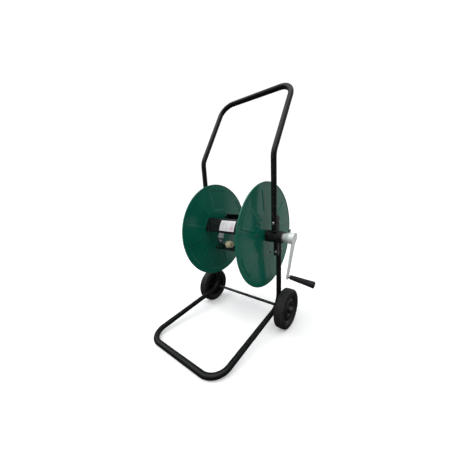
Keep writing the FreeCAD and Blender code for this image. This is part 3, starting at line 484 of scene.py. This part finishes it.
def make_flange(node, side):
    """A dished disc with pressed wedge panels and a rolled bead."""
    low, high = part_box(node)
    hub_x = low.x if side > 0 else high.x
    outside = (high.z - low.z) / 2
    rim = outside - BEAD
    dish = (high.x - low.x) - BEAD - SHEET / 2

    def surface_x(radius, angle):
        rise = max(0.0, radius - HUB_RADIUS) / (rim - HUB_RADIUS)
        if abs(radius - HUB_RADIUS) < HUB_BEND:
            rise = (radius - HUB_RADIUS + HUB_BEND) ** 2 / (4 * HUB_BEND) / (rim - HUB_RADIUS)
        waves = THREE_WAVES * math.sin(3 * angle + side) + FIVE_WAVES * math.sin(5 * angle + 1.7 * side)
        fade_in = smooth_step(radius, HUB_RADIUS, rim)
        fade_out = 1 - smooth_step(radius, rim - WAVES_FADE, rim)
        return dish * rise + panel_height(radius, angle) + waves * fade_in * fade_out

    points = []
    angles = flange_angles()
    radii = flange_radii(FLANGE_BORES[side], rim)
    bead_x = hub_x + side * (dish + SHEET / 2)
    for angle in angles:
        points += [around_x(hub_x + side * surface_x(radius, angle), radius, angle, REEL)
                   for radius in radii]
        for step in range(1, BEAD_STEPS):
            turn = math.pi * (-BEAD_HALF_TURN + 2 * BEAD_HALF_TURN * step / BEAD_STEPS)
            x = bead_x + side * BEAD * math.sin(turn)
            points.append(around_x(x, rim + BEAD * math.cos(turn), angle, REEL))
        points += [around_x(hub_x + side * (surface_x(radius, angle) + SHEET), radius, angle, REEL)
                   for radius in reversed(radii)]
    columns = len(points) // len(angles)
    flange = mesh_object(node + "_sheet", points, ring_faces(len(angles), columns), sharp_degrees=50)
    finish_piece(flange, "reel", "green_paint", node)


# ---- wheels --------------------------------------------------------------------------------------
LUGS = 54
STEPS_PER_LUG = 8
LUG_DEPTH = 1.5 * MM
LUG_GAP = (0.26, 0.36)                  # of a lug's pitch, from the middle of the lug
LUG_START = (9.4 * MM, 10.4 * MM)       # from the middle of the tread
LUG_END = (19.2 * MM, 19.9 * MM)
GROOVE_DEPTH = 1.3 * MM
GROOVE_PLACE = 8.5 * MM
GROOVE_SIDE = (0.5 * MM, 1.3 * MM)
TREAD_REACH = 14 * MM                   # points deeper in the tyre than this aren't cut
TREAD_STEPS = (0.0, 0.4, 1.2, 2.5, 4.5, 7.0, 9.0, 10.2, 10.8, 11.4, 12.0, 12.8, 15.0, 17.5)     # mm
WALL_TOP = 9 * MM
SHOULDER = 7 * MM
SHOULDER_POWER = 2.2
CROWN = 0.5 * MM
CLEARANCE = 0.06 * MM
HUB_OVERHANG = 2 * MM
RIM_RIBS = 8
RIB_HALF_THICKNESS = 1.3 * MM


def tread_cut(across, pitches):
    """How deep the tread is cut: across is from its middle, pitches counts the lugs round it."""
    groove = GROOVE_DEPTH * (1 - smooth_step(abs(across - GROOVE_PLACE), *GROOVE_SIDE))
    gap = smooth_step(abs(pitches % 1.0 - 0.5), *LUG_GAP)
    shoulder = smooth_step(across, *LUG_START) * (1 - smooth_step(across, *LUG_END))
    return groove + LUG_DEPTH * gap * shoulder


def make_tyre(name, side):
    """A tyre with a smooth middle band and lugged shoulders."""
    low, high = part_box("tyre_" + name)
    radius = (high.z - low.z) / 2
    width = high.x - low.x
    half = width / 2
    inner_x = low.x if side > 0 else high.x
    middle_x = inner_x + side * width / 2
    seat = rim_seat(name)

    def tread(x, own_radius, angle):
        if own_radius < radius - TREAD_REACH:
            return own_radius
        outside = (x - middle_x) * side > 0
        pitches = angle * LUGS / (2 * math.pi) + (0.5 if outside else 0.0)
        return own_radius - tread_cut(abs(x - middle_x), pitches)

    wall = [(3 * MM, seat), (0.8 * MM, seat + 3 * MM), (0.0, seat + 7 * MM), (0.0, radius - WALL_TOP)]
    crown = [step * MM for step in TREAD_STEPS] + [half]
    crown += [width - step for step in reversed(crown[:-1])]
    outline = list(wall)
    for distance in crown:
        edge = min(distance, width - distance)
        drop = SHOULDER * (1 - min(1.0, edge / SHOULDER)) ** SHOULDER_POWER + CROWN * (1 - edge / half)
        outline.append((distance, radius - drop))
    outline += [(width - distance, own_radius) for distance, own_radius in reversed(wall)]
    outline = [(inner_x + side * distance, own_radius) for distance, own_radius in outline]
    tyre = lathe("tyre_lugged_" + name, outline, AXLE_LINE, LUGS * STEPS_PER_LUG, tread, sharp_degrees=40)
    finish_piece(tyre, "wheel_" + name, "tyre_rubber", "tyre_" + name)


def rim_seat(name):
    """The radius where a rim carries its tyre."""
    low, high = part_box("wheel_rim_" + name)
    return (high.z - low.z) / 2


def make_rim(name, side):
    """A dished rim with a hub, and ribs in its hollow inner side."""
    low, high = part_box("tyre_" + name)
    width = high.x - low.x
    inner_x = low.x if side > 0 else high.x
    seat = rim_seat(name)
    axle_low, axle_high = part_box("axle")
    bore = (axle_high.z - axle_low.z) / 2 + CLEARANCE

    def at(distance):
        return inner_x + side * distance

    hollow = width - 13 * MM
    dish = width - 9 * MM
    nose = width - 8 * MM
    outline = rounded([
        (-HUB_OVERHANG, bore), (-HUB_OVERHANG, 15 * MM),
        (hollow, 17 * MM, 3 * MM), (hollow, seat - 8 * MM, 3 * MM),
        (2 * MM, seat - 4 * MM), (2 * MM, seat), (width - 3 * MM, seat), (width - 3 * MM, seat - 3 * MM),
        (dish, seat - 8 * MM, 1.5 * MM), (dish, seat - 14 * MM, 2 * MM),
        (width - 2.5 * MM, seat - 18 * MM, 2.5 * MM), (width - 4 * MM, 24 * MM, 2 * MM),
        (nose, 19 * MM, 2 * MM), (nose, 15 * MM, 1 * MM),
        (width + HUB_OVERHANG, 13.5 * MM), (width + HUB_OVERHANG, bore)], radius=0.8 * MM, steps=4)
    disc = lathe("wheel_disc_" + name, [(at(x), own_radius) for x, own_radius in outline], AXLE_LINE, 96)
    pieces = [disc]
    for index in range(RIM_RIBS):
        angle = 2 * math.pi * (index + 0.5) / RIM_RIBS
        pieces.append(rim_rib(angle, at, 16 * MM, seat - 7 * MM, 6 * MM, width - 12.6 * MM))
    rim = joined("wheel_rim_detail_" + name, pieces)
    finish_piece(rim, "wheel_" + name, "wheel_plastic", "wheel_rim_" + name)


def rim_rib(angle, at, inner, outer, start, end):
    """A flat radial rib in a rim's hollow side, from one radius to another; at places it across the rim."""
    along = Vector((0, math.cos(angle), math.sin(angle)))
    across = Vector((0, -math.sin(angle), math.cos(angle)))
    points = []
    for sign in (-1, 1):
        sideways = across * (RIB_HALF_THICKNESS * sign)
        for radius, distance in ((inner, start), (outer, start + 4 * MM), (outer, end), (inner, end)):
            points.append(Vector((at(distance), AXLE.y, AXLE.z)) + along * radius + sideways)
    faces = [(0, 1, 2, 3), (7, 6, 5, 4)] + [(i, (i + 1) % 4, (i + 1) % 4 + 4, i + 4) for i in range(4)]
    return mesh_object("rib", points, faces)


# ---- grip ----------------------------------------------------------------------------------------
FLUTES = 14
STEPS_PER_FLUTE = 12
FLUTE_DEPTH = 0.7 * MM
GRIP_BORE = 4.06 * MM
GRIP_KNEE = 30 * MM
CAP_DEPTH = 8 * MM
LONG_STRETCH = 12 * MM      # an outline's longer stretches are divided, so that the flutes can fade
STRETCH_PARTS = 10


def grip_reach():
    """Where the grip sleeve starts and ends along its axis, from the joint's point, and its end radii."""
    sleeve = frame["nodes"]["grip_sleeve"]
    points = [sleeve.matrix_world @ vertex.co - GRIP_POINT for vertex in sleeve.data.vertices]
    along = [point.dot(GRIP_AXIS) for point in points]
    start = min(along)
    end = max(along)

    def radius_near(place):
        return max((point - GRIP_AXIS * reach).length for point, reach in zip(points, along)
                   if abs(reach - place) < MM)

    return start, end, radius_near(start), radius_near(end)


def make_grip():
    """A tapered grip with shallow flutes and rounded ends, on the pin's axis."""
    start, end, inner, outer = grip_reach()
    cap_low, cap_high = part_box("grip_cap")
    recess = (cap_high - cap_low).y / 2
    taper = (outer - inner) / (end - start)
    outline = rounded([(start, GRIP_BORE), (start, inner, 1.8 * MM),
                       (start + GRIP_KNEE, inner + taper * GRIP_KNEE, 20 * MM),
                       (end, outer, 2.2 * MM), (end, recess, 0.4 * MM), (end - CAP_DEPTH, recess),
                       (end - CAP_DEPTH, GRIP_BORE)], radius=0, steps=6)
    body = []
    for index, (x, radius) in enumerate(outline):
        body.append((x, radius))
        next_x, next_radius = outline[(index + 1) % len(outline)]
        if next_x - x > LONG_STRETCH and radius > GRIP_BORE + MM:
            for step in range(1, STRETCH_PARTS):
                body.append((x + (next_x - x) * step / STRETCH_PARTS,
                             radius + (next_radius - radius) * step / STRETCH_PARTS))

    def fluted(x, radius, angle):
        in_recess = x > end - CAP_DEPTH - MM and radius < recess + 0.5 * MM
        if radius < inner - 2 * MM or in_recess:
            return radius
        fade_in = smooth_step(x, start + 3 * MM, start + 12 * MM)
        fade_out = 1 - smooth_step(x, end - 12 * MM, end - 4 * MM)
        wave = (0.5 - 0.5 * math.cos(angle * FLUTES)) ** 2
        return radius - FLUTE_DEPTH * (fade_in * fade_out) * wave

    grip = lathe("grip_fluted", body, Vector((0, 0, 0)), FLUTES * STEPS_PER_FLUTE, fluted, sharp_degrees=45)
    place_along(grip, GRIP_POINT, GRIP_AXIS)
    finish_piece(grip, "grip", "grip_plastic", "grip_sleeve")


# ---- CAD pieces kept -----------------------------------------------------------------------------
BEVELS_MM = {
    "bearing_bracket_left": 0.8, "bearing_bracket_right": 0.8, "crank_arm": 0.7, "drum_plate_front": 0.3,
    "drum_plate_back": 0.3, "drum_plate_bottom": 0.3, "bracket_nuts": 0.3, "outlet_nut": 0.6,
    "swivel_housing": 0.4, "swivel_gland_nut": 0.4, "inner_elbow": 0.4, "crank_set_screw": 0.25,
    "outlet_connector": 0.4, "wheel_washers": 0.25, "axle_caps": 0.3, "tube_end_plugs": 0.4,
}
OWN_FINISH = {
    # the outlet nut and connector take the lit copy of the brass: painted light
    "outlet_nut": "brass_painted_lit",
    "outlet_connector": "brass_painted_lit",
    # the drum screws take the shaded copy of the zinc: painted shade
    "drum_screws": "zinc_painted_shade",
}


def dress_cad_nodes():
    """Give each CAD piece that stays in view its material, and a fine bevel on its hard edges."""
    slots = {part["node"]: part["material_slot"] for part in frame["record"]["subparts"]}
    for name, obj in frame["nodes"].items():
        if obj.hide_render:
            continue
        obj.data.materials.clear()
        obj.data.materials.append(MATERIALS[OWN_FINISH.get(name, slots[name])])
        if name in BEVELS_MM:
            soften(obj, BEVELS_MM[name] * MM)


# ---- stage ---------------------------------------------------------------------------------------
FLOOR_HALF_WIDTH = 60.0
FLOOR_WHITE = ((0.93, 0.93, 0.93), (0.95, 0.95, 0.95))
FLOOR_UNDERLIGHT = (0.30, 0.30, 0.30)
FLOOR_GLOW = 0.24
BACKDROP_STRENGTH = 1.05
SKY_COLOUR = (0.94, 0.97, 1.0)
SKY_STRENGTH = 0.45
MIRRORED_COLOUR = (0.95, 0.97, 1.0)
MIRRORED_RISE = (0.08, 0.62)            # the upward part of the direction
MIRRORED_STRENGTH = (0.045, 0.80)


def sun(name, azimuth, elevation, strength, spread_degrees, colour):
    """A broad, even light from a direction: azimuth 0 comes from -Y, 90 from +X."""
    data = bpy.data.lights.new(name, "SUN")
    data.energy = strength
    data.angle = math.radians(spread_degrees)
    data.color = colour
    lamp = link(bpy.data.objects.new(name, data))
    turn = math.radians(azimuth)
    rise = math.radians(elevation)
    source = Vector((math.sin(turn) * math.cos(rise), -math.cos(turn) * math.cos(rise), math.sin(rise)))
    lamp.rotation_mode = "QUATERNION"
    lamp.rotation_quaternion = (-source).to_track_quat("-Z", "Y")


def panel_light(name, place, target, size, strength):
    """A white rectangular card of light, out of the camera's sight, facing a target."""
    data = bpy.data.lights.new(name, "AREA")
    data.shape = "RECTANGLE"
    data.size, data.size_y = size
    data.energy = strength
    lamp = link(bpy.data.objects.new(name, data))
    lamp.location = place
    lamp.rotation_mode = "QUATERNION"
    lamp.rotation_quaternion = (Vector(target) - Vector(place)).to_track_quat("-Z", "Y")
    lamp.visible_camera = False


def make_floor():
    """A plain pale floor: near white where it is seen, darker where it only lights the cart from below."""
    half = FLOOR_HALF_WIDTH
    floor = mesh_object("floor", [(-half, -half, 0), (half, -half, 0), (half, half, 0), (-half, half, 0)],
                        [(0, 1, 2, 3)])
    nodes = NodeTree("floor_white")
    seen = nodes.add("ShaderNodeLightPath").outputs["Is Camera Ray"]
    white = nodes.mix(nodes.span(nodes.noise(scale=1.5, detail=2), 0, 1), *FLOOR_WHITE)
    nodes.colour(nodes.mix(seen, FLOOR_UNDERLIGHT, white))
    nodes.roughness(nodes.span(nodes.noise(scale=3, detail=2), 0.85, 0.95))
    nodes.bump(nodes.noise(scale=40, detail=2), strength=0.05, distance=0.2 * MM)
    glow = nodes.span(seen, 0.0, FLOOR_GLOW, from_low=0.0, from_high=1.0)
    nodes.join(glow, nodes.shader.inputs["Emission Strength"])
    nodes.fixed(Specular_IOR_Level=0.0, Emission_Color=(1.0, 1.0, 1.0, 1.0))
    floor.data.materials.append(nodes.material)
    floor.visible_glossy = False


def make_world():
    """White behind the cart, soft even light on it, and reflections of a dark room with a bright top."""
    world = bpy.data.worlds.new("studio")
    world.use_nodes = True
    tree = world.node_tree
    tree.nodes.clear()

    def background(colour, strength=1.0):
        node = tree.nodes.new("ShaderNodeBackground")
        node.inputs["Color"].default_value = (*colour, 1.0)
        node.inputs["Strength"].default_value = strength
        return node

    def choose(share, first, second):
        node = tree.nodes.new("ShaderNodeMixShader")
        tree.links.new(share, node.inputs[0])
        tree.links.new(first.outputs[0], node.inputs[1])
        tree.links.new(second.outputs[0], node.inputs[2])
        return node

    path = tree.nodes.new("ShaderNodeLightPath")
    split = tree.nodes.new("ShaderNodeSeparateXYZ")
    tree.links.new(tree.nodes.new("ShaderNodeTexCoord").outputs["Generated"], split.inputs[0])
    rise = tree.nodes.new("ShaderNodeMapRange")
    rise.inputs["From Min"].default_value, rise.inputs["From Max"].default_value = MIRRORED_RISE
    rise.inputs["To Min"].default_value, rise.inputs["To Max"].default_value = MIRRORED_STRENGTH
    tree.links.new(split.outputs["Z"], rise.inputs["Value"])
    mirrored = background(MIRRORED_COLOUR)
    tree.links.new(rise.outputs["Result"], mirrored.inputs["Strength"])
    lit = choose(path.outputs["Is Glossy Ray"], background(SKY_COLOUR, SKY_STRENGTH), mirrored)
    backdrop = background((1.0, 1.0, 1.0), BACKDROP_STRENGTH)
    whole = choose(path.outputs["Is Camera Ray"], lit, backdrop)
    output = tree.nodes.new("ShaderNodeOutputWorld")
    tree.links.new(whole.outputs[0], output.inputs[0])
    bpy.context.scene.world = world


def make_stage():
    make_floor()
    make_world()
    sun("sun_top", 20, 68, 1.6, 60, (1.0, 0.99, 0.97))
    sun("sun_left", -60, 45, 0.7, 40, (0.95, 0.97, 1.0))
    panel_light("card_back_right", (0.85, 2.42, 0.30), (0.05, 0.0, 0.38), (1.2, 2.0), 6.0)
    panel_light("card_front", (-0.6, -2.6, 1.4), (0.0, 0.0, 0.4), (1.2, 1.2), 8.0)


CAMERA_PLACE = Vector((498.9, -706.3, 502.3)) * MM    # from the floor below the middle of the axle
CAMERA_YAW = math.radians(36.30)
CAMERA_PITCH = math.radians(-10.77)
CAMERA_ROLL = math.radians(0.37)
CAMERA_SENSOR = 36.0
CAMERA_LENS = 15.27
CAMERA_SHIFT = (-0.0156, 0.0111)


def make_camera():
    """The camera, placed from the middle of the axle."""
    data = bpy.data.cameras.new("camera")
    data.sensor_width = CAMERA_SENSOR
    data.lens = CAMERA_LENS
    data.shift_x, data.shift_y = CAMERA_SHIFT
    data.clip_start = 0.01
    data.clip_end = 300.0
    camera = link(bpy.data.objects.new("camera", data))
    ahead = Vector((-math.sin(CAMERA_YAW) * math.cos(CAMERA_PITCH),
                    math.cos(CAMERA_YAW) * math.cos(CAMERA_PITCH),
                    math.sin(CAMERA_PITCH)))
    level = Vector((math.cos(CAMERA_YAW), math.sin(CAMERA_YAW), 0))
    upward = level.cross(ahead)
    right = level * math.cos(CAMERA_ROLL) + upward * math.sin(CAMERA_ROLL)
    up = upward * math.cos(CAMERA_ROLL) - level * math.sin(CAMERA_ROLL)
    axes = Matrix((right, up, -ahead)).transposed().to_4x4()
    camera.matrix_world = Matrix.Translation(CAMERA_PLACE + Vector((AXLE.x, AXLE.y, 0))) @ axes
    bpy.context.scene.camera = camera
    bpy.context.scene.view_settings.view_transform = "Standard"


# ---- everything ----------------------------------------------------------------------------------
make_camera()
make_flange("flange_right", 1)
make_flange("flange_left", -1)
for wheel_name, wheel_side in (("right", 1), ("left", -1)):
    make_tyre(wheel_name, wheel_side)
    make_rim(wheel_name, wheel_side)
make_grip()
dress_cad_nodes()
make_stage()
